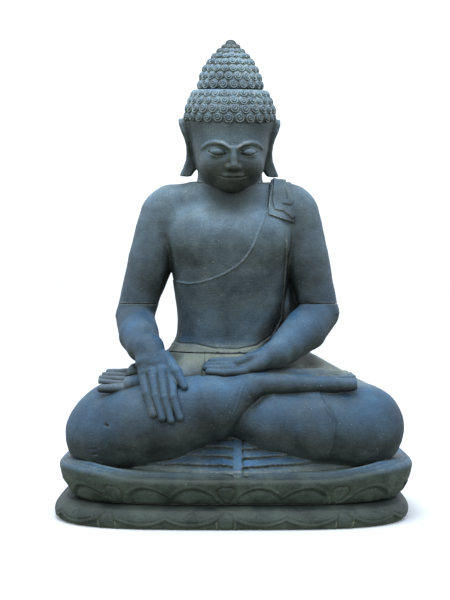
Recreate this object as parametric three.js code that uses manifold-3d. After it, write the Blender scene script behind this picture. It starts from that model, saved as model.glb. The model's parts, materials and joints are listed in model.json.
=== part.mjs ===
// A seated stone buddha on a two-tier lotus plinth, built up from eight carved blocks that are bedded in
// mortar and held in line by steel dowels. Millimetres, +Z up. The origin is the middle of the plinth's
// underside, the figure faces -Y, and its right hand is on the -X side.
import * as THREE from "three";
import { mergeVertices } from "three/addons/utils/BufferGeometryUtils.js";
import Module from "manifold-3d";

const wasm = await Module();
wasm.setup();

// ---------------------------------------------------------------- driving dimensions

const HEIGHT = 1000;
const PLINTH_HALF_WIDTH = 374;
const PLINTH_HALF_DEPTH = 235;
// Exponents of the superellipse that the plinth's plan follows: rounded in front, squarer behind.
const FRONT_SQUARENESS = 3.3;
const BACK_SQUARENESS = 4.5;
const LOWER_TIER_TOP = 46;
const SEAT_TOP = 106;
const WAIST_SEAM = 338;
const ELBOW_SEAM = 440;
const MORTAR = 3;
const GAP = 0.3; // kept between two pieces that touch
const MIDLINE = -10; // the torso and head sit a little to the figure's right

const DOWEL_RADIUS = 10;
const SLIM_DOWEL_RADIUS = 6;
const BORE_CLEARANCE = 0.4;
const BORE_END_GAP = 2; // space left past each end of a dowel

const RIGHT = -1;
const LEFT = 1;

const v = (x, y, z) => new THREE.Vector3(x, y, z);

// The figure's landmarks. side is RIGHT or LEFT.
const hip = (side) => v(side * 95, 62, 236);
const knee = (side) => (side === RIGHT ? v(-263, -78, 171) : v(265, -78, 188));
const shoulder = (side) => v(MIDLINE + side * 134, 15, 628);
const elbow = (side) => (side === RIGHT ? v(-212, 2, 410) : v(181, 2, 418));
const wrist = (side) => (side === RIGHT ? v(-163, -128, 352) : v(84, -112, 336));
const RIGHT_ANKLE = v(92, -146, 262);
const LEFT_ANKLE = v(-96, -74, 262);
const RIGHT_KNUCKLES = v(-155, -183, 303);

const THIGH_RADIUS = 110;
const KNEE_RADIUS = 85;
const ANKLE_RADIUS = 34;
const SHOULDER_RADIUS = 58;
const ELBOW_RADIUS = 42;
const FOREARM_RADIUS = 46;
const WRIST_RADIUS = 27;
const NECK_RADIUS = 57;

// The head nods and turns about its pivot, which lies in the plane of the neck's mortar joint. The head's
// own sizes below are measured from it.
const HEAD_PIVOT = v(MIDLINE - 2, 8, 700);
const HEAD_NOD = THREE.MathUtils.degToRad(8);
const HEAD_TURN = THREE.MathUtils.degToRad(5);
const CRANIUM_CENTRE = v(0, 0, 136);
const CRANIUM_RADII = v(99, 106, 70);
const USHNISHA_SEAM = 196;
const USHNISHA_HEIGHT = 104;
const USHNISHA_RADIUS = 74;
const USHNISHA_TIERS = 7;

// ---------------------------------------------------------------- solids from three.js geometry

// A closed geometry as a manifold-3d solid, whichever way round its faces were wound.
function solidOf(geometry) {
  const bare = geometry.clone();
  bare.deleteAttribute("normal");
  bare.deleteAttribute("uv");
  const merged = mergeVertices(bare, 1e-3);
  const corners = merged.index.array;
  const triangles = [];
  for (let i = 0; i < corners.length; i += 3) {
    const [a, b, c] = corners.slice(i, i + 3);
    if (a !== b && b !== c && c !== a) triangles.push(a, b, c);
  }
  const build = (triVerts) =>
    new wasm.Manifold(
      new wasm.Mesh({
        numProp: 3,
        vertProperties: new Float32Array(merged.attributes.position.array),
        triVerts: new Uint32Array(triVerts),
      }),
    );
  const solid = build(triangles);
  return solid.volume() > 0 ? solid : build(triangles.reverse());
}

const union = (solids) => solids.reduce((sum, solid) => sum.add(solid));
const cut = (solid, tools) => tools.reduce((rest, tool) => rest.subtract(tool), solid);

// A named mesh of a solid.
function piece(name, solid, material) {
  const mesh = solid.getMesh();
  const geometry = new THREE.BufferGeometry();
  geometry.setAttribute("position", new THREE.BufferAttribute(mesh.vertProperties, 3));
  geometry.setIndex(new THREE.BufferAttribute(mesh.triVerts, 1));
  geometry.computeVertexNormals();
  const made = new THREE.Mesh(geometry, material);
  made.name = name;
  return made;
}

// A cylinder from base upwards.
function post(base, radius, height, sides = 16) {
  const geometry = new THREE.CylinderGeometry(radius, radius, height, sides);
  geometry.rotateX(Math.PI / 2).translate(base.x, base.y, base.z + height / 2);
  return solidOf(geometry);
}

function block(low, high) {
  const size = high.clone().sub(low);
  const centre = high.clone().add(low).multiplyScalar(0.5);
  return solidOf(new THREE.BoxGeometry(size.x, size.y, size.z).translate(centre.x, centre.y, centre.z));
}

// An ellipsoid with its own pitch about X and roll about Y.
function ellipsoid(centre, radii, { pitch = 0, roll = 0, turn = 0, detail = 18 } = {}) {
  const geometry = new THREE.SphereGeometry(1, detail, Math.round(detail * 0.6));
  geometry.rotateX(Math.PI / 2).scale(radii.x, radii.y, radii.z);
  geometry.rotateX(pitch).rotateY(roll).rotateZ(turn).translate(centre.x, centre.y, centre.z);
  return solidOf(geometry);
}

// A round limb whose radius runs evenly from startRadius to endRadius, with domed ends.
function limb(start, end, startRadius, endRadius, sides = 16) {
  const along = end.clone().sub(start);
  const arcSteps = Math.max(2, Math.round(sides / 5));
  const profile = [];
  for (let i = 0; i <= arcSteps; i++) {
    const angle = (i / arcSteps - 1) * (Math.PI / 2);
    profile.push(new THREE.Vector2(startRadius * Math.cos(angle), startRadius * Math.sin(angle)));
  }
  for (let i = 0; i <= arcSteps; i++) {
    const angle = (i / arcSteps) * (Math.PI / 2);
    profile.push(new THREE.Vector2(endRadius * Math.cos(angle), along.length() + endRadius * Math.sin(angle)));
  }
  profile[0].x = 0;
  profile[profile.length - 1].x = 0;
  const geometry = new THREE.LatheGeometry(profile, sides);
  geometry.applyQuaternion(new THREE.Quaternion().setFromUnitVectors(v(0, 1, 0), along.normalize()));
  geometry.translate(start.x, start.y, start.z);
  return solidOf(geometry);
}

// A chain of limbs through the points, for a finger or a neck.
function chain(points, radii, sides) {
  return union(points.slice(1).map((point, i) => limb(points[i], point, radii[i], radii[i + 1], sides)));
}

// A turned profile of [outset, height] whose round plan is drawn out to a superellipse.
function superellipseTurning(profile, halfWidth, halfDepth, sides) {
  const points = profile.map(([outset, height]) => new THREE.Vector2(halfWidth + outset, height));
  points.unshift(new THREE.Vector2(0, profile[0][1]));
  points.push(new THREE.Vector2(0, profile[profile.length - 1][1]));
  const geometry = new THREE.LatheGeometry(points, sides).rotateX(Math.PI / 2);
  const position = geometry.attributes.position;
  for (let i = 0; i < position.count; i++) {
    const reach = Math.hypot(position.getX(i), position.getY(i));
    if (reach < 1e-6) continue;
    const cos = position.getX(i) / reach;
    const sin = position.getY(i) / reach;
    const outset = reach - halfWidth;
    const power = sin < 0 ? FRONT_SQUARENESS : BACK_SQUARENESS;
    const stretch =
      Math.pow(Math.pow(Math.abs(cos) / (halfWidth + outset), power) +
        Math.pow(Math.abs(sin) / (halfDepth + outset), power), -1 / power);
    position.setXY(i, cos * stretch, sin * stretch);
  }
  return solidOf(geometry);
}

// An upright form through oval sections of [height, middle's y, half width, half depth].
function ovalTurning(middleX, sections, sides) {
  const profile = sections.map(([height]) => new THREE.Vector2(1, height));
  profile.unshift(new THREE.Vector2(0, sections[0][0]));
  profile.push(new THREE.Vector2(0, sections[sections.length - 1][0]));
  const geometry = new THREE.LatheGeometry(profile, sides).rotateX(Math.PI / 2);
  const position = geometry.attributes.position;
  for (let i = 0; i < position.count; i++) {
    const ring = THREE.MathUtils.clamp((i % profile.length) - 1, 0, sections.length - 1);
    const [height, middleY, halfWidth, halfDepth] = sections[ring];
    position.setXYZ(i, middleX + position.getX(i) * halfWidth, middleY + position.getY(i) * halfDepth, height);
  }
  return solidOf(geometry);
}

// ---------------------------------------------------------------- dowels and their bores

// Every dowel stands upright across a mortar bed. reach is how far it goes into each block.
const DOWELS = {
  plinth_dowel_right: { at: v(-200, 30, LOWER_TIER_TOP), radius: DOWEL_RADIUS, down: 30, up: 34 },
  plinth_dowel_left: { at: v(200, 30, LOWER_TIER_TOP), radius: DOWEL_RADIUS, down: 30, up: 34 },
  seat_dowel_right: { at: v(-110, 50, SEAT_TOP), radius: DOWEL_RADIUS, down: 36, up: 80 },
  seat_dowel_left: { at: v(110, 50, SEAT_TOP), radius: DOWEL_RADIUS, down: 36, up: 80 },
  waist_dowel_right: { at: v(MIDLINE - 55, 20, WAIST_SEAM), radius: DOWEL_RADIUS, down: 80, up: 80 },
  waist_dowel_left: { at: v(MIDLINE + 55, 20, WAIST_SEAM), radius: DOWEL_RADIUS, down: 80, up: 80 },
  elbow_dowel_right: { at: v(-204, 3, ELBOW_SEAM), radius: SLIM_DOWEL_RADIUS, down: 40, up: 50 },
  elbow_dowel_left: { at: v(175, 3, ELBOW_SEAM), radius: SLIM_DOWEL_RADIUS, down: 32, up: 50 },
};

const dowel = ({ at, radius, down, up }) => post(v(at.x, at.y, at.z - down), radius, down + up);
const bore = ({ at, radius, down, up }) =>
  post(
    v(at.x, at.y, at.z - down - BORE_END_GAP),
    radius + BORE_CLEARANCE,
    down + up + 2 * BORE_END_GAP,
  );
const boresAt = (...names) => names.map((name) => bore(DOWELS[name]));

// The head's two dowels lean with it. Their places are measured from the head's pivot.
const NECK_DOWEL = { at: v(0, 0, 0), radius: DOWEL_RADIUS, down: 80, up: 80 };
const USHNISHA_DOWEL = { at: v(0, 0, USHNISHA_SEAM), radius: SLIM_DOWEL_RADIUS, down: 40, up: 40 };

const headToBody = new THREE.Matrix4()
  .makeTranslation(HEAD_PIVOT.x, HEAD_PIVOT.y, HEAD_PIVOT.z)
  .multiply(new THREE.Matrix4().makeRotationZ(HEAD_TURN))
  .multiply(new THREE.Matrix4().makeRotationX(HEAD_NOD));
const inBody = (solid) => solid.transform(headToBody.elements);

// ---------------------------------------------------------------- plinth

const PLINTH_SIDES = 40;
const tier = (profile) =>
  superellipseTurning(profile, PLINTH_HALF_WIDTH, PLINTH_HALF_DEPTH, PLINTH_SIDES);

function lowerPlinth() {
  const top = LOWER_TIER_TOP - MORTAR;
  const roll = tier([[-8, 0], [-1, 8], [0, 20], [-4, 31], [-14, 39], [-28, top]]);
  return cut(roll, boresAt("plinth_dowel_right", "plinth_dowel_left"));
}

function upperPlinth() {
  const top = SEAT_TOP - MORTAR;
  const lip = [[-28, LOWER_TIER_TOP], [-16, 52], [-7, 62], [-2, 76], [0, 86], [-5, 94], [-18, 99]];
  const roll = tier([...lip, [-70, top]]);
  return cut(roll, boresAt("plinth_dowel_right", "plinth_dowel_left", "seat_dowel_right", "seat_dowel_left"));
}

function plinthMortarBed() {
  const bed = tier([[-40, LOWER_TIER_TOP - MORTAR + GAP], [-40, LOWER_TIER_TOP - GAP]]);
  return cut(bed, boresAt("plinth_dowel_right", "plinth_dowel_left"));
}

// ---------------------------------------------------------------- crossed legs

const TOES = 5;

// A foot lying sole up from the ankle to the toes, with the big toe at the front.
function foot(ankle, ball, grow) {
  const along = ball.clone().sub(ankle).normalize();
  const side = v(0, 1, 0.25).normalize();
  const parts = [
    limb(ankle, ball, 30 + grow, 25 + grow, 10),
    limb(ankle.clone().addScaledVector(side, 16), ball.clone().addScaledVector(side, 34), 26 + grow, 15 + grow, 8),
  ];
  for (let i = 0; i < TOES; i++) {
    const root = ball.clone().addScaledVector(side, -10 + i * 14).addScaledVector(v(0, 0, 1), 8);
    const length = 40 - i * 4;
    const radius = (i === 0 ? 10.5 : 8.2) + grow;
    parts.push(limb(root, root.clone().addScaledVector(along, length), radius, radius, 6));
  }
  return union(parts);
}

// The legs folded over each other, with each foot on the other thigh. grow swells every limb.
function legForms(grow = 0) {
  const rightFoot = foot(RIGHT_ANKLE, v(188, -124, 280), grow);
  const leftFoot = foot(LEFT_ANKLE, v(-226, -104, 280), grow);
  const limbs = [RIGHT, LEFT].map((side) =>
    limb(hip(side), knee(side), THIGH_RADIUS + grow, KNEE_RADIUS + grow, 16),
  );
  return union([
    ...limbs,
    limb(knee(RIGHT), RIGHT_ANKLE, KNEE_RADIUS + grow, ANKLE_RADIUS + grow, 16),
    limb(knee(LEFT), LEFT_ANKLE, KNEE_RADIUS + grow, ANKLE_RADIUS + grow, 16),
    rightFoot,
    leftFoot,
    ellipsoid(v(0, 74, 196), v(196 + grow, 118 + grow, 130 + grow), { detail: 16 }),
    limb(v(-70, -62, 270), v(60, -62, 270), 56 + grow, 56 + grow, 12),
    ovalTurning(
      0,
      [[SEAT_TOP - 2, 22, 288 + grow, 172 + grow], [132, 22, 278 + grow, 166 + grow], [172, 22, 240 + grow, 146 + grow]],
      28,
    ),
  ]);
}

// The pleated end of the robe, spread on the seat in front of the crossed shins.
function hemApron() {
  const outline = new THREE.Shape();
  outline.moveTo(-205, -200);
  outline.quadraticCurveTo(0, -214, 205, -200);
  outline.lineTo(150, -120);
  outline.lineTo(-150, -120);
  const slab = solidOf(
    new THREE.ExtrudeGeometry(outline, { depth: 110, bevelEnabled: false, curveSegments: 8 })
      .translate(0, 0, SEAT_TOP - 5),
  );
  const slope = new THREE.Shape([
    new THREE.Vector2(-230, SEAT_TOP - 10),
    new THREE.Vector2(-230, SEAT_TOP + 4),
    new THREE.Vector2(-206, SEAT_TOP + 6),
    new THREE.Vector2(-120, SEAT_TOP + 72),
    new THREE.Vector2(-110, SEAT_TOP - 10),
  ]);
  const wedge = new THREE.ExtrudeGeometry(slope, { depth: 460, bevelEnabled: false });
  wedge.rotateX(Math.PI / 2).rotateZ(Math.PI / 2).translate(-230, 0, 0);
  return slab.intersect(solidOf(wedge));
}

function crossedLegs() {
  const lap = ovalTurning(
    MIDLINE,
    [[240, 26, 150, 108], [300, 18, 132, 94], [WAIST_SEAM, 14, 121, 86]],
    22,
  );
  const all = union([legForms(), lap, hemApron()]);
  const keepIn = block(v(-400, -300, SEAT_TOP), v(400, 300, WAIST_SEAM - MORTAR));
  return cut(
    all.intersect(keepIn),
    boresAt("seat_dowel_right", "seat_dowel_left", "waist_dowel_right", "waist_dowel_left"),
  );
}

// The bed fills the joint under the legs' footprint, set back a little from its edge.
function seatMortarBed() {
  const footprint = legForms(-6).intersect(block(v(-400, -300, SEAT_TOP), v(400, 300, SEAT_TOP + 1)));
  const low = SEAT_TOP - MORTAR + GAP;
  const height = MORTAR - 2 * GAP;
  const bed = footprint.scale([1, 1, height]).translate([0, 0, low - SEAT_TOP * height]);
  return cut(bed, boresAt("seat_dowel_right", "seat_dowel_left"));
}

// ---------------------------------------------------------------- torso and arms

const upperArm = (side, grow = 0) =>
  limb(shoulder(side), elbow(side), SHOULDER_RADIUS + grow, ELBOW_RADIUS + grow, 16);

// The chest from the waist up to the neck, as [height, middle's y, half width, half depth].
const TRUNK = [
  [WAIST_SEAM - MORTAR - 5, 14, 122, 86],
  [WAIST_SEAM, 14, 121, 86],
  [383, 12, 110, 78],
  [445, 10, 114, 81],
  [488, 8, 124, 89],
  [535, 6, 135, 97],
  [585, 6, 138, 98],
  [630, 10, 128, 88],
  [668, 12, 96, 68],
  [690, 10, 64, 58],
  [712, 8, 56, 56],
];

function trunk(grow = 0) {
  const sections = TRUNK.map(([height, middleY, halfWidth, halfDepth]) => [
    height,
    middleY,
    halfWidth + grow,
    halfDepth + grow,
  ]);
  return ovalTurning(MIDLINE, sections, 22);
}

// The slope from the side of the neck out to the top of a shoulder.
const shoulderSlope = (side) => limb(v(MIDLINE + side * 35, 20, 668), shoulder(side), 32, SHOULDER_RADIUS, 12);

// The robe that hangs between the left arm and the side of the chest.
function armDrape() {
  const outline = new THREE.Shape([
    new THREE.Vector2(70, WAIST_SEAM),
    new THREE.Vector2(128, WAIST_SEAM),
    new THREE.Vector2(172, 430),
    new THREE.Vector2(132, 600),
    new THREE.Vector2(70, 600),
  ]);
  const sheet = new THREE.ExtrudeGeometry(outline, { depth: 44, bevelEnabled: false });
  return solidOf(sheet.rotateX(Math.PI / 2).translate(0, 48, 0));
}

// The folded sash that lies over the left shoulder.
function shoulderSash() {
  const outline = new THREE.Shape([
    new THREE.Vector2(70, 606),
    new THREE.Vector2(132, 592),
    new THREE.Vector2(124, 662),
    new THREE.Vector2(82, 684),
  ]);
  const flap = new THREE.ExtrudeGeometry(outline, { depth: 60, bevelEnabled: false });
  return solidOf(flap.rotateX(Math.PI / 2).translate(0, -20, 0));
}

// The room that a forearm block and its mortar need beside the chest and the drape.
const lowerArmRoom = (side) =>
  union([forearm(side, 2 * GAP), upperArm(side, 2 * GAP)]).intersect(
    block(v(-400, -400, 100), v(400, 300, ELBOW_SEAM)),
  );

function torso() {
  const aboveWaist = block(v(-400, -300, WAIST_SEAM), v(400, 300, HEIGHT));
  const arms = union([upperArm(RIGHT), upperArm(LEFT)]).intersect(
    block(v(-400, -300, ELBOW_SEAM), v(400, 300, HEIGHT)),
  );
  const body = union([trunk(), shoulderSlope(RIGHT), shoulderSlope(LEFT), armDrape(), shoulderSash()]);
  const chest = cut(body.intersect(aboveWaist), [RIGHT, LEFT].map(lowerArmRoom));
  const aboveNeck = inBody(block(v(-110, -150, -MORTAR), v(110, 150, 60)));
  return cut(union([chest, arms]), [
    aboveNeck,
    inBody(bore(NECK_DOWEL)),
    ...boresAt("waist_dowel_right", "waist_dowel_left", "elbow_dowel_right", "elbow_dowel_left"),
  ]);
}

function waistMortarBed() {
  const low = WAIST_SEAM - MORTAR + GAP;
  const slice = trunk(-4).intersect(block(v(-400, -300, low), v(400, 300, WAIST_SEAM - GAP)));
  return cut(slice, boresAt("waist_dowel_right", "waist_dowel_left"));
}

function neckMortarJoint() {
  const disc = post(v(0, 0, -MORTAR + GAP), NECK_RADIUS - 4, MORTAR - 2 * GAP, 24);
  return inBody(cut(disc, [bore(NECK_DOWEL)]));
}

// ---------------------------------------------------------------- forearms and hands

// Four fingers and a thumb. Each is [root, bend, tip], and radii run the same way.
function fingers(roots, bends, tips, radius, grow) {
  return union(
    roots.map((root, i) =>
      chain([root, bends[i], tips[i]], [radius + grow, radius - 0.5 + grow, radius - 1.5 + grow], 6),
    ),
  );
}

// The right hand reaches down over the shin.
function rightHand(grow) {
  const back = union([
    limb(wrist(RIGHT), RIGHT_KNUCKLES, WRIST_RADIUS + grow, 19 + grow, 12),
    limb(wrist(RIGHT).clone().add(v(-4, -4, -4)), RIGHT_KNUCKLES.clone().add(v(-22, 0, -4)), 20 + grow, 13 + grow, 10),
    limb(wrist(RIGHT).clone().add(v(6, -4, -4)), RIGHT_KNUCKLES.clone().add(v(20, -2, 0)), 20 + grow, 14 + grow, 10),
  ]);
  const index = [0, 1, 2, 3];
  const roots = index.map((i) => v(-182 + i * 18, -190 - i * 1.5, 300 + i * 2));
  const bends = index.map((i) => v(-170 + i * 16, -201 - i * 2, 252 - i * 2));
  const tips = index.map((i) => v(-158 + i * 13, -203 - i * 2, 216 - (i % 3) * 5));
  const thumb = chain(
    [v(-136, -172, 326), v(-112, -182, 296), v(-100, -186, 272)],
    [13 + grow, 11 + grow, 8 + grow],
    8,
  );
  return union([back, fingers(roots, bends, tips, 9.5, grow), thumb]);
}

// The left hand lies palm up in the lap, its fingers towards the right.
function leftHand(grow) {
  const palm = union([
    limb(wrist(LEFT), v(22, -128, 330), 22 + grow, 18 + grow, 12),
    limb(v(70, -98, 334), v(20, -96, 332), 20 + grow, 16 + grow, 10),
  ]);
  const index = [0, 1, 2, 3];
  const roots = index.map((i) => v(16, -144 + i * 16, 331 + i * 0.6));
  const bends = index.map((i) => v(-24 - (i % 3) * 3, -144 + i * 15.5, 331));
  const tips = index.map((i) => v(-58 + Math.abs(i - 1) * 5, -142 + i * 14.5, 329));
  const thumb = chain([v(44, -82, 344), v(6, -76, 352), v(-22, -84, 350)], [12 + grow, 10 + grow, 8 + grow], 8);
  return union([palm, fingers(roots, bends, tips, 8.8, grow), thumb]);
}

function forearm(side, grow = 0) {
  const hand = side === RIGHT ? rightHand(grow) : leftHand(grow);
  const belly = elbow(side).lerp(wrist(side), 0.3);
  const arm = union([
    limb(elbow(side), belly, ELBOW_RADIUS + grow, FOREARM_RADIUS + grow, 14),
    limb(belly, wrist(side), FOREARM_RADIUS + grow, WRIST_RADIUS + grow, 14),
  ]);
  const stub = upperArm(side, grow).intersect(
    block(v(-400, -300, elbow(side).z), v(400, 300, ELBOW_SEAM - MORTAR + grow)),
  );
  const whole = union([arm, stub, hand]);
  return whole.intersect(block(v(-400, -400, 100), v(400, 300, ELBOW_SEAM - MORTAR + grow)));
}

// A forearm block, cleared from the legs that it rests on and from the chest behind it.
function forearmBlock(side) {
  const name = side === RIGHT ? "elbow_dowel_right" : "elbow_dowel_left";
  return cut(forearm(side), [legForms(GAP * 2), ...boresAt(name)]);
}

function elbowJointFiller(side) {
  const low = ELBOW_SEAM - MORTAR + GAP;
  const slice = upperArm(side, -2).intersect(block(v(-400, -300, low), v(400, 300, ELBOW_SEAM - GAP)));
  return cut(slice, boresAt(side === RIGHT ? "elbow_dowel_right" : "elbow_dowel_left"));
}

// ---------------------------------------------------------------- head

function ear(side) {
  const shell = ellipsoid(v(side * 89, 4, 96), v(15, 22, 35), { roll: side * 0.2, detail: 12 });
  const lobe = chain([v(side * 88, 0, 76), v(side * 86, -2, 46), v(side * 91, -4, 20)], [10, 8, 11], 8);
  return union([shell, lobe]);
}

function head() {
  const neckRoom = post(v(0, 0, -60), NECK_RADIUS + 9, 60, 24);
  const skull = union([
    ellipsoid(CRANIUM_CENTRE, CRANIUM_RADII, { detail: 20 }),
    ellipsoid(v(0, 24, 94), v(84, 80, 72), { detail: 14 }),
    ellipsoid(v(0, -24, 76), v(78, 82, 84), { detail: 18 }),
    ellipsoid(v(0, -70, 10), v(30, 27, 26), { detail: 12 }),
    limb(v(0, -98, 84), v(0, -104, 58), 8, 13, 10),
    ear(RIGHT),
    ear(LEFT),
  ]).intersect(block(v(-200, -200, -100), v(200, 200, USHNISHA_SEAM - MORTAR)));
  const neck = post(v(0, 0, 0), NECK_RADIUS, 60, 24);
  return inBody(cut(union([cut(skull, [neckRoom]), neck]), [bore(NECK_DOWEL), bore(USHNISHA_DOWEL)]));
}

// The tall crown knot: tiers of curls that close to a rounded point.
function ushnisha() {
  const profile = [new THREE.Vector2(0, 0)];
  for (let i = 0; i < USHNISHA_TIERS; i++) {
    const low = i / USHNISHA_TIERS;
    const high = (i + 0.8) / USHNISHA_TIERS;
    const radiusAt = (t) => USHNISHA_RADIUS * (1 - Math.pow(t, 1.8));
    profile.push(new THREE.Vector2(radiusAt(low) - 4, low * USHNISHA_HEIGHT));
    profile.push(new THREE.Vector2(radiusAt(low), (low + 0.25 / USHNISHA_TIERS) * USHNISHA_HEIGHT));
    profile.push(new THREE.Vector2(radiusAt(high), high * USHNISHA_HEIGHT));
  }
  profile.push(new THREE.Vector2(0, USHNISHA_HEIGHT));
  const cone = new THREE.LatheGeometry(profile, 20).rotateX(Math.PI / 2).translate(0, 0, USHNISHA_SEAM);
  return inBody(cut(solidOf(cone), [bore(USHNISHA_DOWEL)]));
}

function ushnishaMortarJoint() {
  const disc = post(v(0, 0, USHNISHA_SEAM - MORTAR + GAP), USHNISHA_RADIUS - 12, MORTAR - 2 * GAP, 24);
  return inBody(cut(disc, [bore(USHNISHA_DOWEL)]));
}

// ---------------------------------------------------------------- the assembly

const stone = new THREE.MeshStandardMaterial({ color: 0x4d5a5c, roughness: 0.85, metalness: 0 });
const mortar = new THREE.MeshStandardMaterial({ color: 0x8d8370, roughness: 0.95, metalness: 0 });
const steel = new THREE.MeshStandardMaterial({ color: 0x8a8d90, roughness: 0.35, metalness: 1 });

const buddha = new THREE.Group();
buddha.add(
  piece("lower_plinth", lowerPlinth(), stone),
  piece("upper_plinth", upperPlinth(), stone),
  piece("crossed_legs", crossedLegs(), stone),
  piece("torso", torso(), stone),
  piece("right_forearm", forearmBlock(RIGHT), stone),
  piece("left_forearm", forearmBlock(LEFT), stone),
  piece("head", head(), stone),
  piece("ushnisha", ushnisha(), stone),
  piece("plinth_mortar_bed", plinthMortarBed(), mortar),
  piece("seat_mortar_bed", seatMortarBed(), mortar),
  piece("waist_mortar_bed", waistMortarBed(), mortar),
  piece("neck_mortar_joint", neckMortarJoint(), mortar),
  piece("ushnisha_mortar_joint", ushnishaMortarJoint(), mortar),
  piece("right_elbow_filler", elbowJointFiller(RIGHT), mortar),
  piece("left_elbow_filler", elbowJointFiller(LEFT), mortar),
  piece("neck_dowel", inBody(dowel(NECK_DOWEL)), steel),
  piece("ushnisha_dowel", inBody(dowel(USHNISHA_DOWEL)), steel),
);
for (const [name, place] of Object.entries(DOWELS)) buddha.add(piece(name, dowel(place), steel));

export default buddha;
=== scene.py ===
"""A seated stone buddha on a lotus plinth, carved block by block out of distance fields.

A carving function takes points as a (3, n) array in millimetres, in the frame of the CAD model, and
gives how far each point is outside the stone. The finished meshes are in metres.
"""

import json
import math
from concurrent.futures import ThreadPoolExecutor
from functools import partial
from types import SimpleNamespace

import bpy
import numpy as np
import openvdb
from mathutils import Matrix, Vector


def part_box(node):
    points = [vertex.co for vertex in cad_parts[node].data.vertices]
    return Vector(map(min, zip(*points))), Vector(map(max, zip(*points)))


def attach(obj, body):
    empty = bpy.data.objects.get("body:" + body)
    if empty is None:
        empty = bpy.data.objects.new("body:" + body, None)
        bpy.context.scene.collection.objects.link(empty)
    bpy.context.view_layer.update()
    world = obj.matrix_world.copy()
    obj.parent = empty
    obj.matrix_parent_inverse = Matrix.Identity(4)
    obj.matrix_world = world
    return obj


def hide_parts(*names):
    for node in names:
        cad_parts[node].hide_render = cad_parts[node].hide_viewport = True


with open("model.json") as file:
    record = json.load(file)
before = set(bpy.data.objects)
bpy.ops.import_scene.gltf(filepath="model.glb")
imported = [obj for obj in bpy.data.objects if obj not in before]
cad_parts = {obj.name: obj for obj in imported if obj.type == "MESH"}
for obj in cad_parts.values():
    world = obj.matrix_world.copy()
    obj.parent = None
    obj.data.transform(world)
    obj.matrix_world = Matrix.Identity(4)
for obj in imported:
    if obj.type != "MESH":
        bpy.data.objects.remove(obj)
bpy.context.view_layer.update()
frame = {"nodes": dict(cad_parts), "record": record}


# ---- sizes read from the frame


def box_mm(node):
    low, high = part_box(node)
    return np.array(low) * 1000, np.array(high) * 1000


HALF_WIDTH, HALF_DEPTH = (float(size) for size in box_mm("lower_plinth")[1][:2])
MORTAR = 3.0  # how thick a joint is
TIER_TOP = float(box_mm("upper_plinth")[0][2])
SEAT_TOP = float(box_mm("crossed_legs")[0][2])
WAIST_SEAM = float(box_mm("torso")[0][2])
ELBOW_SEAM = float(box_mm("right_forearm")[1][2]) + MORTAR
FRONT_SQUARENESS = 3.3  # exponents of the superellipse that is the plinth's plan
BACK_SQUARENESS = 4.5
MIDLINE = -10.0  # the X of the torso's middle

RIGHT = -1
LEFT = 1

BODY_STEP = 2.1
PLINTH_STEP = 1.9
HAND_STEP = 1.3
HEAD_STEP = 1.1


# ---- fields


def vec(*xyz):
    return np.array(xyz, dtype=np.float32)


def size_of(q):
    return np.sqrt(q[0] * q[0] + q[1] * q[1] + q[2] * q[2])


def ramp(start, end, value):
    """0 before start, 1 after end, and smooth between."""
    t = np.clip((value - start) / (end - start), 0, 1)
    return t * t * (3 - 2 * t)


def bell(distance, width):
    """1 where the distance is 0, and next to nothing from about two widths on."""
    return np.exp(-((distance / width) ** 2))


def join(blend, first, *others):
    """The union of fields, with a fillet about as wide as blend."""
    for other in others:
        overlap = np.maximum(blend - np.abs(first - other), 0) / blend
        first = np.minimum(first, other) - overlap * overlap * (blend * 0.25)
    return first


def carve(blend, body, tool):
    return -join(blend, -body, tool)


def ellipsoid(p, centre, radii, turn=None):
    q = p - vec(*centre)[:, None]
    if turn is not None:
        q = turn.T @ q
    r = vec(*radii)[:, None]
    scaled = size_of(q / r)
    return scaled * (scaled - 1) / np.maximum(size_of(q / (r * r)), 1e-6)


def limb(p, start, end, start_radius, end_radius):
    q = p - vec(*start)[:, None]
    along = vec(*end) - vec(*start)
    t = np.clip((along @ q) / float(along @ along), 0, 1)
    return size_of(q - along[:, None] * t) - (start_radius + (end_radius - start_radius) * t)


def chain(p, points, radii, blend=0.0):
    """Limbs end to end."""
    parts = [
        limb(p, points[i], points[i + 1], radii[i], radii[i + 1]) for i in range(len(points) - 1)
    ]
    if blend:
        return join(blend, *parts)
    return np.minimum.reduce(parts)


def rotation(x=0.0, y=0.0, z=0.0):
    """The matrix that turns by degrees about X, then Y, then Z."""
    cx, sx = math.cos(math.radians(x)), math.sin(math.radians(x))
    cy, sy = math.cos(math.radians(y)), math.sin(math.radians(y))
    cz, sz = math.cos(math.radians(z)), math.sin(math.radians(z))
    about_x = np.array([[1, 0, 0], [0, cx, -sx], [0, sx, cx]])
    about_y = np.array([[cy, 0, sy], [0, 1, 0], [-sy, 0, cy]])
    about_z = np.array([[cz, -sz, 0], [sz, cz, 0], [0, 0, 1]])
    return (about_z @ about_y @ about_x).astype(np.float32)


def curve_table(knots, count=160):
    """A smooth curve through knots whose first number is the argument, as columns to interpolate in."""
    knots = np.array(knots, dtype=float)
    at = knots[:, 0]
    slopes = np.gradient(knots[:, 1:], at, axis=0)
    x = np.linspace(at[0], at[-1], count)
    i = np.clip(np.searchsorted(at, x, side="right") - 1, 0, len(at) - 2)
    span = at[i + 1] - at[i]
    t = ((x - at[i]) / span)[:, None]
    span = span[:, None]
    a, b = knots[i, 1:], knots[i + 1, 1:]
    values = (
        (2 * t**3 - 3 * t**2 + 1) * a
        + (t**3 - 2 * t**2 + t) * span * slopes[i]
        + (-2 * t**3 + 3 * t**2) * b
        + (t**3 - t**2) * span * slopes[i + 1]
    )
    return x, values


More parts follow.
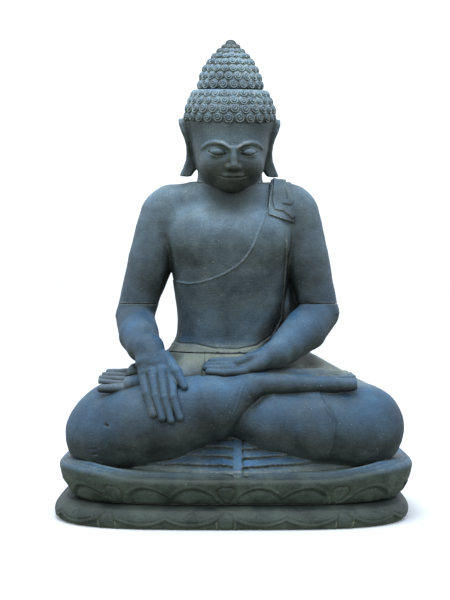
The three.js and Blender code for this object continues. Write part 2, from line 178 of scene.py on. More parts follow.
def to_segment(x, z, a, b):
    """The square of the distance to a segment, the segment as a vector, and the points seen from a."""
    edge = b - a
    px, pz = x - a[0], z - a[1]
    t = np.clip((px * edge[0] + pz * edge[1]) / float(edge @ edge), 0, 1)
    return (px - edge[0] * t) ** 2 + (pz - edge[1] * t) ** 2, edge, px, pz


def polygon_distance(x, z, corners):
    """Signed distance to a polygon in the X-Z plane, negative inside."""
    corners = np.array(corners, dtype=np.float32)
    nearest = np.full(x.shape, 1e9, dtype=np.float32)
    inside = np.zeros(x.shape, dtype=bool)
    for a, b in zip(corners, np.roll(corners, -1, axis=0)):
        gap, edge, _, _ = to_segment(x, z, a, b)
        nearest = np.minimum(nearest, gap)
        crosses = (a[1] > z) != (b[1] > z)
        if edge[1] != 0:
            inside ^= crosses & (x < a[0] + (z - a[1]) * edge[0] / edge[1])
    return np.where(inside, -1, 1) * np.sqrt(nearest)


def line_distance(x, z, points):
    """Signed distance to an open line in the X-Z plane, positive on its right when seen from -Y."""
    points = np.array(points, dtype=np.float32)
    nearest = np.full(x.shape, 1e9, dtype=np.float32)
    side = np.ones(x.shape, dtype=np.float32)
    for a, b in zip(points[:-1], points[1:]):
        gap, edge, px, pz = to_segment(x, z, a, b)
        turn = px * edge[1] - pz * edge[0]
        side = np.where(gap < nearest, np.where(turn > 0, 1, -1), side)
        nearest = np.minimum(nearest, gap)
    return side * np.sqrt(nearest)


def inside_box(p, low, high):
    """The indices of the points in a box, so that small detail is worked out only near it."""
    keep = np.ones(p.shape[1], dtype=bool)
    for axis in range(3):
        keep &= (p[axis] > low[axis]) & (p[axis] < high[axis])
    return np.flatnonzero(keep)


def detail(p, field, low, high, change):
    """field after change(points, values) has been applied to the points in a box."""
    near = inside_box(p, low, high)
    if near.size:
        field = field.copy()
        field[near] = change(p[:, near], field[near])
    return field


def rim_gap(depth, inset=3.5):
    """How far a block reaches over a mortar joint at its rim, so that only a hairline shows."""
    return 1.2 * ramp(-inset - 1.5, -inset, depth)


def unevenness(p, wavelength, seed):
    """A smooth random-looking ripple between about -1 and 1."""
    k = 2 * math.pi / wavelength
    x, y, z = p
    return (
        np.sin(k * x + 1.7 * seed + 1.3 * np.sin(0.7 * k * y + seed))
        * np.sin(k * y + 2.1 * seed + 1.1 * np.sin(0.6 * k * z + 0.5 * seed))
        + np.sin(0.8 * k * z + seed + 1.2 * np.sin(0.9 * k * x + 2.0 * seed))
    ) * 0.5


# ---- plinth


def plan_distance(x, y, half_width=HALF_WIDTH, half_depth=HALF_DEPTH):
    """Distance outside the plinth's plan, a superellipse that is squarer behind than in front."""
    n = np.where(y < 0, FRONT_SQUARENESS, BACK_SQUARENESS).astype(np.float32)
    ax = np.abs(x) / half_width + 1e-4
    ay = np.abs(y) / half_depth + 1e-4
    r = np.maximum((ax**n + ay**n) ** (1 / n), 0.05)
    shrink = r ** (1 - n)
    slope = np.hypot(shrink * ax ** (n - 1) / half_width, shrink * ay ** (n - 1) / half_depth)
    return (r - 1) / slope


def outline_length_table():
    """Angles round the plinth, and the length along its outline from the first to each."""
    angle = np.linspace(-math.pi, math.pi, 1441)
    n = np.where(angle < 0, FRONT_SQUARENESS, BACK_SQUARENESS)
    cos, sin = np.abs(np.cos(angle)) + 1e-9, np.abs(np.sin(angle)) + 1e-9
    reach = ((cos / HALF_WIDTH) ** n + (sin / HALF_DEPTH) ** n) ** (-1 / n)
    x, y = reach * np.cos(angle), reach * np.sin(angle)
    steps = np.hypot(np.diff(x), np.diff(y))
    return angle, np.concatenate([[0], np.cumsum(steps)])


OUTLINE_ANGLES, OUTLINE_LENGTHS = outline_length_table()
PETALS = 9
PETAL_PITCH = OUTLINE_LENGTHS[-1] / PETALS
PETAL_HALF = PETAL_PITCH / 2 - 20
HEART_X = -17.0  # one of the little hearts between petals is here, in front
HEART_LENGTH = np.interp(math.atan2(-HALF_DEPTH, HEART_X), OUTLINE_ANGLES, OUTLINE_LENGTHS)


def petal_position(x, y):
    """How far each point is, along the outline, from its petal's middle and from the nearest heart, the
    first of these as a share of the petal's half width, and how high the petal's arch is there."""
    length = np.interp(np.arctan2(y, x), OUTLINE_ANGLES, OUTLINE_LENGTHS)
    along = np.abs(((length - HEART_LENGTH) % PETAL_PITCH) - PETAL_PITCH / 2)
    reach = along / PETAL_HALF
    return along, PETAL_PITCH / 2 - along, reach, np.sin(math.pi * np.clip(reach, 0, 1))


UPPER_PROFILE = curve_table(
    [(45, -31), (49, -25), (55, -20), (64, -15), (74, -10), (86, -5), (98, -2), (108, 0), (122, -3)]
)
LOWER_PROFILE = curve_table([(-4, -5), (4, -2), (12, 0), (22, 0), (31, -4), (38, -11), (43, -24)])


def profile_offset(profile, z):
    return np.interp(z, profile[0], profile[1][:, 0]).astype(np.float32)


LIP_TOP = 98.0


def seat_height(x, y):
    """The top of the plinth: a low pad that rises from the groove inside the rolled lip."""
    inwards = -plan_distance(x, y)
    rise = ramp(25, 30, inwards) * (SEAT_TOP - LIP_TOP)
    swell = 24.0 * ramp(170, 365, np.abs(x)) * (1 - ramp(34, 84, inwards))
    groove = 3.5 * bell(inwards - 17.0, 2.2)
    hem = 2.5 * bell(inwards - 39.0, 1.8) * ramp(-80, -130, y) * ramp(245, 215, np.abs(x))
    return LIP_TOP + rise + swell - groove - hem


HEART = [(-9, 76), (4, 81), (11, 80), (16, 74), (15, 66), (9, 57), (2, 49), (-9, 49)]
LEAF = [(-9, 34), (3, 33), (9, 25), (13, 15), (12, 5), (-9, 3)]


def upper_plinth(p):
    x, y, z = p
    outwards = plan_distance(x - 3, y, HALF_WIDTH - 5.5, HALF_DEPTH)
    _, gap, reach, lobe = petal_position(x, y)
    border = 58 + 22 * lobe**0.8 - 6 * ramp(0.9, 1.0, reach)
    hollow = ramp(0, 4, border - z) * (1 - ramp(0.97, 1.02, reach))
    heart = polygon_distance(gap, z, HEART)
    hollow = np.maximum(hollow, 0.8 * bell(heart - 2.5, 2.2) * (1 - ramp(80, 86, z)))
    vein = bell(gap, 1.4) * ramp(50, 56, z) * (1 - ramp(72, 78, z))
    rim = 1.4 * bell(border - z + 2.5, 2.4) * (1 - ramp(0.98, 1.05, reach))
    leaf = 2.8 * ramp(6, 12, border - z) * ramp(0.15, 0.6, lobe)
    surface = profile_offset(UPPER_PROFILE, z) - 5.0 * hollow - 1.6 * vein + rim + leaf
    side = (outwards - surface) * 0.9
    body = -join(15, -side, seat_height(x, y) + 1.5 - z)
    body = np.maximum(body, TIER_TOP - z)
    return body + 0.45 * unevenness(p, 47, 2.0)


def lower_plinth(p):
    x, y, z = p
    outwards = plan_distance(x + 6, y, HALF_WIDTH - 5, HALF_DEPTH)
    along, gap, reach, lobe = petal_position(x, y)
    border = 20 - 13 * lobe**0.8
    hollow = ramp(0, 4, border - z) * (1 - ramp(0.97, 1.03, reach))
    leaf = polygon_distance(gap, z, LEAF)
    between = 0.8 * bell(leaf - 2.5, 2.2) * (1 - ramp(30, 37, z))
    curl = np.hypot(along - PETAL_HALF * 0.5, z - 23)
    curl_line = bell(curl - 8.0, 1.5) * ramp(-3, 1, z - 23)
    rim_line = bell(z - border - 6.0, 1.6) * (1 - ramp(0.9, 1.0, reach))
    chips = 7.0 * ramp(0.25, 0.9, unevenness(p, 61, 5.0) + 0.5 * unevenness(p, 23, 1.0))
    chipped = ramp(0, 7, chips + 3.5 - z)
    surface = profile_offset(LOWER_PROFILE, z) - 4.0 * np.maximum(hollow, between)
    surface = surface - 1.8 * curl_line - 1.5 * rim_line - 4.0 * chipped
    side = (outwards - surface) * 0.9
    body = -join(2.5, -side, -(z - (TIER_TOP - MORTAR)))
    body = np.maximum(body, -z)
    return body + 0.4 * unevenness(p, 43, 3.0) * ramp(2, 8, z)


# ---- crossed legs

RIGHT_KNEE = (-261.5, -78, 171)
LEFT_KNEE = (262, -78, 184)


def toes(p, first, last, big_tip, small_tips, big_radius, small_radius):
    """A big toe with a blunt end and four small ones whose roots run from first to last."""
    rows = len(small_tips)
    parts = [limb(p, first, big_tip, big_radius + 1, big_radius)]
    for i, tip in enumerate(small_tips):
        share = (i + 1.15) / (rows + 0.15)
        root = tuple(a + (b - a) * share for a, b in zip(first, last))
        parts.append(limb(p, root, tip, small_radius, small_radius - 0.4 * i / rows))
    return join(0.8, *parts)


def right_foot(p):
    """The right foot, sole up on the left thigh, with its toes to the left."""
    sole = join(
        24,
        chain(p, [(18, -150, 272), (70, -146, 277), (140, -140, 277), (202, -136, 276)], [27, 22, 19, 17]),
        chain(p, [(30, -118, 282), (110, -106, 289), (192, -98, 291)], [26, 22, 14]),
    )
    tips = [(246, -122, 284), (243, -110, 289), (238, -99, 293), (230, -89, 296)]
    digits = toes(p, (205, -137, 276), (196, -88, 298), (240, -137, 276), tips, 12.5, 6.4)
    blunt = np.maximum(digits, p[0] - 249)
    return join(3, sole, blunt)


def left_foot(p):
    """The left foot, sole up on the right thigh, with its toes to the right."""
    sole = join(
        14,
        chain(p, [(-110, -92, 284), (-160, -108, 282), (-212, -118, 276)], [24, 22, 17]),
        chain(p, [(-120, -62, 300), (-175, -74, 303), (-207, -80, 301)], [20, 18, 14.5]),
    )
    tips = [(-277, -111, 281.5), (-274, -101, 287.5), (-269, -91, 293.5), (-261, -81, 299)]
    digits = toes(p, (-226, -120, 268), (-220, -74, 300), (-271, -123, 267.5), tips, 9.0, 5.7)
    blunt = np.maximum(digits, -p[0] - 279)
    return join(3, sole, blunt)


def hips(p):
    """Where the torso widens into the lap, on both sides of the joint between them."""
    return ellipsoid(p, (MIDLINE, 14, 325), (145, 98, 38))


def seated_legs(p):
    """Both thighs, the right shin over the left one, and the lap between them."""
    thighs = [limb(p, (-95, 62, 234), RIGHT_KNEE, 110, 86), limb(p, (98, 62, 243), LEFT_KNEE, 110, 86)]
    right_shin = chain(
        p,
        [RIGHT_KNEE, (-140, -128, 203), (-45, -150, 232), (28, -152, 268)],
        [87, 82, 65, 31],
        5,
    )
    left_shin = chain(
        p,
        [LEFT_KNEE, (160, -118, 190), (75, -136, 200), (0, -134, 204)],
        [87, 76, 61, 35],
        5,
    )
    seat = ellipsoid(p, (0, 72, 190), (205, 122, 138))
    lap = limb(p, (-85, -44, 268), (78, -44, 268), 66, 66)
    underside = ellipsoid(p, (0, 10, 112), (318, 190, 70))
    outer_thigh = ellipsoid(p, (-236, -48, 200), (92, 80, 78))
    mass = join(34, join(20, thighs[0], outer_thigh), thighs[1], seat, lap, hips(p))
    mass = join(16, mass, underside)
    mass = join(10, mass, left_shin)
    return join(7, mass, right_shin)


FAN_TOP = (-112.0, 204.0)
FAN_FOOT = (-206.0, 101.0)


def hem_fan(p):
    """The pleated end of the robe that spreads on the seat in front of the shins."""
    x, y, z = p
    run = vec(FAN_FOOT[0] - FAN_TOP[0], FAN_FOOT[1] - FAN_TOP[1])
    slope = float(np.hypot(*run))
    along = (y - FAN_TOP[0]) * run[0] / slope + (z - FAN_TOP[1]) * run[1] / slope
    outwards = (y - FAN_TOP[0]) * run[1] / slope - (z - FAN_TOP[1]) * run[0] / slope
    across = np.abs(x - 6)
    recede = 0.0015 * across**2
    outwards = outwards + recede * (FAN_TOP[1] - FAN_FOOT[1]) / slope
    along = along + recede * (FAN_TOP[0] - FAN_FOOT[0]) / slope
    wave = 2.0 * np.sin(x / 31.0 + 0.6) + 1.0 * np.sin(x / 14.0)
    band = (slope - along + wave) / 22.0
    share = 1 - (band - np.floor(band))
    fold = 6.0 * share * ramp(1.0, 0.95, share) - 3.0 * ramp(0.22, 0.0, share)
    strip = ramp(9.5, 8.0, across)
    strip_line = bell(across - 10.5, 1.7)
    height = fold * (1 - strip) + 2.8 * strip - 3.5 * strip_line * ramp(-2, 2, x)
    return np.maximum(np.maximum((outwards - height) * 0.8, across - 232), -outwards - 40)


KNEE_NICKS = [
    [(-301, -158, 152), (-290, -162, 147), (-280, -162, 149)],
    [(-300, -154, 140), (-289, -158, 135), (-277, -157, 138)],
    [(-268, -168, 207), (-262, -171, 199), (-250, -170, 196)],
    [(-327, -140, 196), (-320, -146, 188), (-322, -143, 180)],
]


def knee_nicks(q, d):
    """Old chisel slips on the right knee."""
    for points in KNEE_NICKS:
        d = carve(2, d, chain(q, points, [1.5, 3.5, 1.5]))
    return d


LEFT_SHIN_HEM = [(176, 252), (183, 238), (194, 221), (201, 203), (200, 184), (196, 160), (188, 138)]


def legs_surface(p):
    """The legs with the robe's hems, the feet and the fan."""
    body = seated_legs(p)

    def shin_hem(q, d):
        edge = line_distance(q[0], q[2], LEFT_SHIN_HEM)
        front = ramp(-60, -100, q[1])
        cloth = 2.2 * ramp(-1.2, 1.2, edge) * ramp(60, 18, edge)
        rim = 1.8 * bell(edge - 1.8, 1.9)
        groove = 1.8 * bell(edge + 1.8, 1.8)
        return d - (cloth + rim - groove) * front

    body = detail(p, body, (100, -260, 130), (290, -60, 262), shin_hem)

    def lap_step(q, d):
        edge = q[0] + 64 + 3 * np.sin(q[2] / 9.0)
        cloth = 3.0 * ramp(1.0, -1.0, edge) * ramp(-75, -40, edge)
        return d - cloth * ramp(285, 293, q[2])

    body = detail(p, body, (-160, -160, 283), (-50, 20, 352), lap_step)

    def ankle_creases(q, d):
        for offset in (8, 17):
            crease = q[0] - offset - 0.35 * (q[2] - 262)
            d = d + 1.0 * bell(crease, 1.6) * ramp(-140, -150, q[1])
        return d

    body = detail(p, body, (-20, -220, 225), (60, -130, 290), ankle_creases)
    body = detail(p, body, (-360, -190, 110), (-220, -90, 230), knee_nicks)
    body = detail(p, body, (-20, -185, 240), (262, -60, 326), lambda q, d: join(4, d, right_foot(q)))
    body = detail(p, body, (-292, -150, 240), (-80, -40, 322), lambda q, d: join(4, d, left_foot(q)))
    body = detail(p, body, (-240, -226, 90), (250, -60, 222), lambda q, d: join(2, d, hem_fan(q)))
    return body + 0.6 * unevenness(p, 57, 1.0) + 0.2 * unevenness(p, 21, 4.0)


def crossed_legs(p):
    above_seat = seat_height(p[0], p[1]) + 0.4 - p[2]
    body = np.maximum(legs_surface(p), above_seat)
    return np.maximum(body, p[2] - (WAIST_SEAM - MORTAR + rim_gap(body, 7)))


# ---- torso and arms

SHOULDER = {RIGHT: (-147, 15, 625), LEFT: (125, 15, 630)}
ELBOW = {RIGHT: (-213, 2, 410), LEFT: (182.5, 2, 418)}
WRIST = {RIGHT: (-175, -124, 350), LEFT: (86, -112, 336)}

TRUNK = curve_table(
    [
        (300, 16, 128, 96),
        (338, 12, 120, 90),
        (383, 8, 111, 86),
        (445, 6, 114, 88),
        (488, 5, 121, 93),
        (535, 5, 131, 98),
        (575, 7, 136, 97),
        (615, 10, 130, 88),
        (648, 13, 104, 73),
        (682, 11, 78, 63),
        (700, 9, 71, 62),
        (730, 6, 68, 62),
        (760, 2, 66, 60),
    ]
)


def trunk(p):
    x, y, z = p
    middle, wide, deep = (np.interp(z, TRUNK[0], column).astype(np.float32) for column in TRUNK[1].T)
    qx, qy = (x - MIDLINE) / wide, (y - middle) / deep
    r = np.sqrt(qx * qx + qy * qy)
    slope = np.sqrt((qx / wide) ** 2 + (qy / deep) ** 2) + 1e-6
    round_plan = r * (r - 1) / slope
    return np.maximum(round_plan * 0.96, 300 - z)


def upper_arm(p, side):
    shoulder, elbow = SHOULDER[side], ELBOW[side]
    deltoid = tuple(a + (b - a) * 0.16 for a, b in zip(shoulder, elbow))
    bow = (side * 2.5, 0, 0)
    middle = tuple(a + (b - a) * 0.43 + c for a, b, c in zip(shoulder, elbow, bow))
    above_elbow = tuple(a + (b - a) * 0.75 + c for a, b, c in zip(shoulder, elbow, bow))
    arm = chain(p, [shoulder, deltoid, middle, above_elbow, elbow], [56.5, 55.5, 50, 42.5, 40.5])
    muscle = ellipsoid(p, (middle[0], middle[1] - 14, middle[2]), (38, 40, 88), rotation(y=side * -15))
    return join(10, arm, muscle)


def both(shape, p):
    """A shape on either side of the body."""
    return np.minimum(shape(p, RIGHT), shape(p, LEFT))


def lower_arm(p, side):
    elbow, wrist = ELBOW[side], WRIST[side]
    if side == RIGHT:
        belly, near_wrist, radii = (-200, -54, 374), (-186.5, -98, 353), [40.5, 41.5, 35.5, 28]
    else:
        belly, near_wrist, radii = (149, -42, 385), (108, -88, 352), [41, 46, 35.5, 27.5]
    return chain(p, [elbow, belly, near_wrist, wrist], radii, 3)


ROBE_EDGE = [
    (-150, 492), (-117, 486), (-97, 482), (-72, 485), (-47, 492), (-22, 502), (3, 517),
    (18, 531), (31, 548), (41, 567), (55, 604), (70, 643), (78, 690),
]
SASH = [
    (77, 720), (102, 720), (108, 690), (120, 658), (128, 623), (125, 608), (94, 618), (71, 625), (72, 660),
]
SASH_FOLD = [
    (84, 720), (103, 720), (111, 690), (121, 655), (128, 622), (122, 617), (102, 634), (84, 637), (80, 656),
]
SASH_PLEAT = [(108, 720), (119, 720), (122, 690), (126, 655), (119, 646), (98, 650), (111, 658), (108, 690)]
WAIST_LINE = [
    (-130, 357), (-112, 354), (-84, 354), (-41, 345), (6, 343.5), (46, 351), (80, 373), (99, 407),
    (103, 450), (106, 500), (108, 600),
]
BACK_SASH = [(70, 720), (112, 720), (106, 560), (98, 470), (84, 430), (64, 466), (60, 560)]
BACK_FOLD = [(84, 720), (112, 720), (106, 560), (96, 480), (88, 462), (80, 500)]


def torso_surface(p):
    """The bare torso with both upper arms and the robe that hangs between the left arm and the body."""
    body = trunk(p)
    slopes = [
        limb(p, (MIDLINE + side * 40, 16, 672.5), (MIDLINE + side * 118, 16, 648.5), 31, 46)
        for side in (RIGHT, LEFT)
    ]
    body = join(26, body, *slopes)
    body = detail(p, body, (-180, -120, 300), (160, 140, 390), lambda q, d: join(22, d, hips(q)))

    def chest(q, d):
        for side in (RIGHT, LEFT):
            breast = ellipsoid(q, (MIDLINE + side * 58, -50, 582), (66, 34, 46), rotation(z=side * 16))
            d = join(34, d, breast)
        breastbone = ellipsoid(q, (MIDLINE, -106, 590), (6, 8, 56))
        return carve(18, d, breastbone)

    body = detail(p, body, (-180, -150, 330), (160, 10, 700), chest)

    def back(q, d):
        spine = limb(q, (MIDLINE, 112, 640), (MIDLINE, 104, 380), 11, 9)
        d = carve(16, d, spine)
        for side in (RIGHT, LEFT):
            blade = ellipsoid(q, (MIDLINE + side * 64, 84, 590), (42, 20, 56), rotation(y=side * 12))
            d = join(16, d, blade)
        return d

    body = detail(p, body, (-170, 40, 345), (150, 160, 700), back)
    drape = limb(p, (112, 26, 600), (150, 28, 420), 16, 17)
    drape = join(14, drape, limb(p, (98, 30, 560), (112, 30, 330), 22, 34))
    drape = join(14, drape, limb(p, (112, 30, 420), (128, 30, 330), 26, 24))
    body = join(5, body, drape)
    arms = both(upper_arm, p)
    arm_blend = 3 + 21 * ramp(np.where(p[0] > 0, 575, 540), 625, p[2])
    overlap = np.maximum(arm_blend - np.abs(body - arms), 0) / arm_blend
    return np.minimum(body, arms) - overlap * overlap * arm_blend * 0.25


def robe_thickness(p):
    """How much the robe and the folded sash add to the torso's surface."""
    x, y, z = p
    edge = line_distance(x, z, ROBE_EDGE)
    off_arm = ramp(-139, -133, x) * (1 - ramp(116, 124, x))
    robe = 1.6 * ramp(-0.8, 0.8, edge) + 1.3 * bell(edge - 1.6, 1.7) * ramp(-131, -119, x)
    cover = robe * off_arm
    front = y < 20
    sash = np.where(front, polygon_distance(x, z, SASH), polygon_distance(x, z, BACK_SASH))
    fold = np.where(front, polygon_distance(x, z, SASH_FOLD), polygon_distance(x, z, BACK_FOLD))
    pleat = np.where(front, polygon_distance(x, z, SASH_PLEAT), 9.0)
    cover = cover + 5.0 * ramp(0.9, -0.9, sash)
    cover = cover + 3.0 * ramp(0.9, -0.9, fold) + 2.2 * ramp(0.9, -0.9, pleat)
    return cover


NECK_SPREAD = 88.0  # the neck joint's plane cuts the torso this far to each side
NECK_RIM = 59.0  # the mortar ends a little inside this radius


def torso_with_robe(p):
    body = torso_surface(p)
    body = detail(p, body, (-155, -160, 330), (165, 160, 735), lambda q, d: d - robe_thickness(q))

    def waist_line(q, d):
        edge = line_distance(q[0], q[2], WAIST_LINE)
        front = ramp(10, -10, q[1]) * (1 - ramp(560, 600, q[2]))
        cloth = 1.5 * ramp(-1, 1, edge) * ramp(30, 16, edge)
        return d + (1.4 * bell(edge + 1.2, 1.8) - cloth) * front

    body = detail(p, body, (-145, -150, 325), (150, 20, 605), waist_line)
    return body + 0.6 * unevenness(p, 61, 4.0) + 0.2 * unevenness(p, 23, 2.0)


def torso(p):
    body = torso_with_robe(p)
    arms = np.minimum(both(forearm_surface, p), both(upper_arm, p))
    room = np.maximum(arms - 0.5, p[2] - (ELBOW_SEAM - rim_gap(arms)))
    body = np.maximum(body, -room)
    body = np.maximum(body, WAIST_SEAM - rim_gap(body, 5) - p[2])
    q = to_head(p)
    joint = -MORTAR + rim_gap(np.hypot(q[0], q[1]) - NECK_RIM)
    above_neck = np.maximum(np.abs(p[0] - MIDLINE) - NECK_SPREAD, joint - q[2])
    return np.maximum(body, -above_neck)


# ---- forearms and hands

HANDS = {
    RIGHT: SimpleNamespace(
        fingers=[
            [(-184, -160, 300), (-174, -188, 262), (-160, -207, 222)],
            [(-165, -166, 305), (-156, -194, 258), (-142, -215, 216)],
            [(-146, -168, 306), (-138, -198, 256), (-124, -217, 212)],
            [(-128, -166, 303), (-120, -200, 256), (-107, -216, 218)],
        ],
        thumb=[(-140, -146, 334), (-116, -174, 306), (-99, -190, 276)],
        palm=[
            ((-158, -150, 318), (-150, -162, 304), [26, 19, 13]),
            ((-182, -148, 322), (-181, -160, 304), [25, 18.5, 11]),
            ((-146, -146, 322), (-133, -160, 306), [20, 15, 10]),
        ],
        palm_blend=15,
        fat=9.9,
    ),
    LEFT: SimpleNamespace(
        fingers=[
            [(20, -148, 304), (-22, -152, 301), (-52, -148, 303)],
            [(18, -138, 311), (-28, -143, 309), (-58, -138, 310)],
            [(16, -127, 317), (-26, -132, 316), (-56, -127, 316)],
            [(14, -115, 323), (-20, -120, 322), (-48, -116, 322)],
        ],
        thumb=[(58, -124, 334), (30, -134, 330), (6, -140, 322)],
        palm=[
            ((50, -122, 326), (18, -130, 318), [25, 18, 11]),
            ((44, -104, 332), (16, -118, 323), [22, 15, 9]),
            ((52, -138, 318), (20, -146, 306), [22, 15, 9]),
        ],
        palm_blend=10,
        fat=8.9,
    ),
}


def hand(p, side):
    made = HANDS[side]
    rays = [chain(p, [WRIST[side], middle, end], radii) for middle, end, radii in made.palm]
    thickness = [made.fat, made.fat * 0.94, made.fat * 0.8]
    fingers = [chain(p, points, thickness, 2) for points in made.fingers]
    whole = join(5, join(made.palm_blend, *rays), join(1.0, *fingers))
    return join(6, whole, chain(p, made.thumb, [13, 10.5, 7.5], 3))


def forearm_surface(p, side):
    arm = lower_arm(p, side)
    low = (-225, -240, 180) if side == RIGHT else (-85, -190, 270)
    high = (-70, -100, 395) if side == RIGHT else (125, -70, 380)
    return detail(p, arm, low, high, lambda q, d: join(11, d, hand(q, side)))


def elbow_filler(p, side):
    """The mortar in an elbow joint, a little inside the arm's skin."""
    arm = np.minimum(lower_arm(p, side), upper_arm(p, side)) + 4.5
    return np.maximum(arm, np.abs(p[2] - (ELBOW_SEAM - MORTAR / 2)) - (MORTAR / 2 - 0.3))


def forearm(p, side):
    body = join(5, forearm_surface(p, side), np.maximum(upper_arm(p, side), ELBOW[side][2] - p[2]))
    body = np.maximum(body, p[2] - (ELBOW_SEAM - MORTAR + rim_gap(body)))
    body = body + 0.35 * unevenness(p, 41, 6.0)
    return np.maximum(body, 0.4 - legs_surface(p))


# ---- head

HEAD_PIVOT = vec(MIDLINE - 1.2, 8, 700)
HEAD_TURN = rotation(z=5) @ rotation(x=8)
USHNISHA_SEAM = 196.0
USHNISHA_RIM = 68.0
HAIR_CENTRE = 136.0
HAIR_RADII = (90.5, 99.0, 92.0)


def to_head(p):
    return HEAD_TURN.T @ (p - HEAD_PIVOT[:, None])


def skull(q):
    cranium = ellipsoid(q, (0, 0, 134), (92, 99, 62))
    nape = ellipsoid(q, (0, 16, 84), (80, 72, 76))
    face = ellipsoid(q, (0, -20, 78), (77, 82, 84))
    jaw = ellipsoid(q, (0, -36, 30), (66, 62, 46))
    return join(22, cranium, nape, face, jaw)


def face_front(x, z):
    """The Y at which a ray from the front meets the bare face, in the head's own frame."""
    near, far = -200.0, 0.0
    for _ in range(24):
        middle = (near + far) / 2
        if skull(vec(x, middle, z)[:, None])[0] > 0:
            near = middle
        else:
            far = middle
    return far


def on_face(points):
    """Points of (x, z, how far out from the bare face), as places in the head's own frame."""
    return [(x, face_front(x, z) - out, z) for x, z, out in points]


FACE_THIRD = 48.0  # hairline to brow, brow to nose, nose to chin are equal
CHIN_Z = -17.0
NOSE_Z = CHIN_Z + FACE_THIRD
BROW_Z = NOSE_Z + FACE_THIRD
HAIRLINE_Z = BROW_Z + FACE_THIRD
EYE_Z = BROW_Z - 13
EYE_X = 31.0
MOUTH_Z = NOSE_Z - FACE_THIRD / 3

BROW = on_face(
    [
        (9, BROW_Z - 4, 1), (22, BROW_Z + 4, 1), (38, BROW_Z + 7, 0.5), (52, BROW_Z + 3, 0),
        (62, BROW_Z - 6, -1),
    ]
)
LID = [(16, EYE_Z - 3), (24, EYE_Z - 6.5), (33, EYE_Z - 7.5), (42, EYE_Z - 5), (49, EYE_Z - 1)]
LID_FOLD = [(16, EYE_Z + 2), (25, EYE_Z + 8), (34, EYE_Z + 9), (44, EYE_Z + 5), (50, EYE_Z)]
NOSE = on_face([(0, BROW_Z - 7, 0), (0, EYE_Z - 12, 6), (0, NOSE_Z + 7, 12)])
NOSTRIL = on_face([(10, NOSE_Z + 4, 6)])[0]
UPPER_LIP = on_face(
    [(0, MOUTH_Z + 3.2, 4.2), (7, MOUTH_Z + 4.6, 4.4), (16, MOUTH_Z + 3.0, 2.2), (25, MOUTH_Z + 1.4, -1.2)]
)
LOWER_LIP = on_face([(0, MOUTH_Z - 5.0, 2.8), (9, MOUTH_Z - 4.5, 2.2), (19, MOUTH_Z - 1.5, -0.8)])
MOUTH_LINE = [(0, MOUTH_Z - 0.8), (8, MOUTH_Z - 0.2), (17, MOUTH_Z - 0.8), (27, MOUTH_Z + 1.6)]


def mirrored(q):
    """Points folded over to the positive side, for what is alike on both halves."""
    return np.stack([np.abs(q[0]), q[1], q[2]])


def eyes(q, d):
    socket = ellipsoid(q, (EYE_X + 1, face_front(EYE_X, EYE_Z) - 7, EYE_Z + 1), (21, 12, 13))
    d = carve(12, d, socket)
    d = join(5, d, ellipsoid(q, (EYE_X, face_front(EYE_X, EYE_Z) + 8.5, EYE_Z - 1), (16.5, 14, 11)))
    return join(7, d, chain(q, BROW, [1.2, 1.7, 1.7, 1.4, 0.6]))


def to_stroke(q, points):
    """The distance from a line drawn on the face, as seen from the front."""
    flat = np.stack([q[0], q[1] * 0, q[2]])
    return chain(flat, [(x, 0, z) for x, z in points], [0] * len(points))


def eye_lines(q, d):
    return d + 2.0 * bell(to_stroke(q, LID), 1.3) + 0.9 * bell(to_stroke(q, LID_FOLD), 1.5)


def nose_and_mouth(q, d):
    nose = chain(q, NOSE, [5.0, 6.5, 9.0], 6)
    wing = ellipsoid(q, NOSTRIL, (6.5, 8.5, 6.0))
    d = join(7, d, join(4, nose, wing))
    d = carve(2, d, ellipsoid(q, (5.5, NOSTRIL[1] - 3, NOSE_Z - 3.0), (3.0, 4.5, 3.2)))
    d = carve(5, d, limb(q, (0, NOSTRIL[1] + 1.0, NOSE_Z - 4), (0, NOSTRIL[1] + 1.0, MOUTH_Z + 8), 1.6, 2.2))
    muzzle = ellipsoid(q, (0, face_front(0, MOUTH_Z) + 16, MOUTH_Z), (27, 19, 16))
    d = join(12, d, muzzle)
    d = join(3.5, d, chain(q, UPPER_LIP, [3.6, 3.6, 3.0, 1.6]), chain(q, LOWER_LIP, [5.2, 4.9, 2.6]))
    d = d + 3.2 * bell(to_stroke(q, MOUTH_LINE), 1.5) * ramp(31, 26, q[0])
    chin = ellipsoid(q, (0, face_front(0, 0) + 13, CHIN_Z + 16), (27, 18, 17))
    d = join(20, d, chin)
    cheek = ellipsoid(q, (38, face_front(38, 40) + 20, 40), (22, 22, 24))
    return join(16, d, cheek)


EAR_FRONT = [
    (74, 134), (98, 137), (110, 133), (108, 119), (103, 105), (97, 91), (93, 76), (92, 60),
    (94, 44), (100, 27), (107, 10), (90, 8), (82, 10), (70, 27), (66, 60), (70, 90),
]
EAR_SIDE = [
    (-13, 86), (-14, 106), (-8, 124), (6, 135), (20, 130), (28, 113), (26, 92), (18, 72),
    (13, 52), (14, 30), (19, 8), (-8, 8), (-6, 30), (-5, 52), (-9, 68),
]


def ear(q, d):
    """A long ear with a curled rim and a drawn-out lobe that flares to a flat end."""
    from_front = polygon_distance(q[0], q[2], EAR_FRONT)
    from_side = polygon_distance(q[1], q[2], EAR_SIDE)
    shape = -join(7, -from_front, -from_side)
    bowl = ellipsoid(q, (109, 6, 100), (10, 13, 22), rotation(y=12))
    shape = carve(3, shape, bowl)
    rim_groove = [(108, -6, 112), (110, 4, 125), (108, 17, 117), (103, 18, 98)]
    shape = carve(2, shape, chain(q, rim_groove, [1.6, 1.8, 1.8, 1.4]))
    slit = chain(q, [(94, 3, 62), (95, 4, 44), (101, 5, 26)], [2.0, 3.0, 3.5])
    shape = carve(3, shape, slit)
    return join(4, d, shape)


